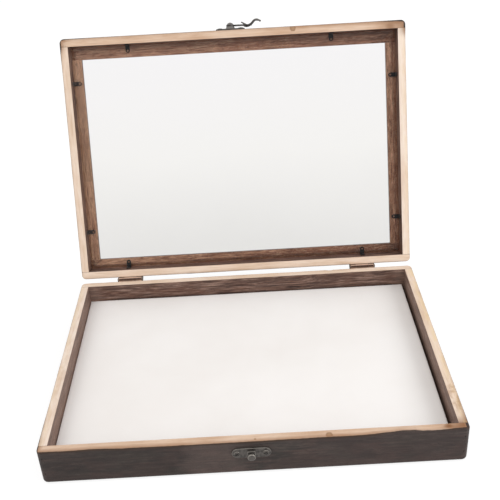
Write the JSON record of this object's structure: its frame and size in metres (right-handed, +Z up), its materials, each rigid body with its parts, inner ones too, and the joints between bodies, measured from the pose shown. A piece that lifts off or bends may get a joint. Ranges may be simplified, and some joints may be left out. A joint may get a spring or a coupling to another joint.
{
  "type": "specimen display case",
  "caption": "Shallow wooden display case with a pale pinning bed, a hinged glazed lid standing open and a small horn-shaped swing hook that catches a peg on the front.",
  "frame": {"origin": "centre of the tray's underside, on the surface that the case stands on", "axes": "+Z up, -Y towards the latch side, +X to the right as the latch side is faced; the lid stands open by 110.3 degrees"},
  "size_m": [0.34, 0.3555, 0.2696],
  "materials": {
    "stained_wood": "matte",
    "plywood": "matte",
    "foam": "matte",
    "glass": "polished",
    "antique_brass": "satin",
    "black_metal": "satin",
    "steel": "satin"
  },
  "bodies": {
    "tray": {"tray_front_board": "stained_wood", "tray_rear_board": "stained_wood", "tray_left_board": "stained_wood", "tray_right_board": "stained_wood", "tray_corner_nails": "steel", "bottom_panel": "plywood", "bottom_panel_brads": "steel", "pinning_foam": "foam", "hinge_left_tray_leaf": "antique_brass", "hinge_left_pin": "antique_brass", "hinge_left_tray_screws": "antique_brass", "hinge_right_tray_leaf": "antique_brass", "hinge_right_pin": "antique_brass", "hinge_right_tray_screws": "antique_brass", "catch_plate": "antique_brass", "catch_plate_screws": "antique_brass", "catch_peg": "antique_brass"},
    "lid": {"lip_front_strip": "stained_wood", "lip_rear_strip": "stained_wood", "lip_left_strip": "stained_wood", "lip_right_strip": "stained_wood", "glass_pane": "glass", "glass_clip_front_1": "black_metal", "glass_clip_front_2": "black_metal", "glass_clip_rear_1": "black_metal", "glass_clip_rear_2": "black_metal", "glass_clip_left_1": "black_metal", "glass_clip_left_2": "black_metal", "glass_clip_right_1": "black_metal", "glass_clip_right_2": "black_metal", "glass_clip_pins": "black_metal", "lid_front_rail": "stained_wood", "lid_rear_rail": "stained_wood", "lid_left_rail": "stained_wood", "lid_right_rail": "stained_wood", "lid_corner_nails": "steel", "hinge_left_lid_leaf": "antique_brass", "hinge_left_lid_screws": "antique_brass", "hinge_right_lid_leaf": "antique_brass", "hinge_right_lid_screws": "antique_brass", "latch_plate": "antique_brass", "latch_plate_screws": "antique_brass", "latch_rivet": "antique_brass", "latch_washer": "antique_brass"},
    "hook": {"latch_hook": "antique_brass"}
  },
  "joints": [
    {"name": "lid_hinge", "type": "hinge", "parent": "tray", "child": "lid", "pos_m": [0, 0.1232, 0.0338], "axis": [1, 0, 0], "range_deg": [0, 110.3]},
    {"name": "hook_swing", "type": "hinge", "parent": "lid", "child": "hook", "pos_m": [-0.0017, 0.21374, 0.26068], "axis": [0, 0.3469, 0.9379], "range_deg": [-90, 90]}
  ]
}
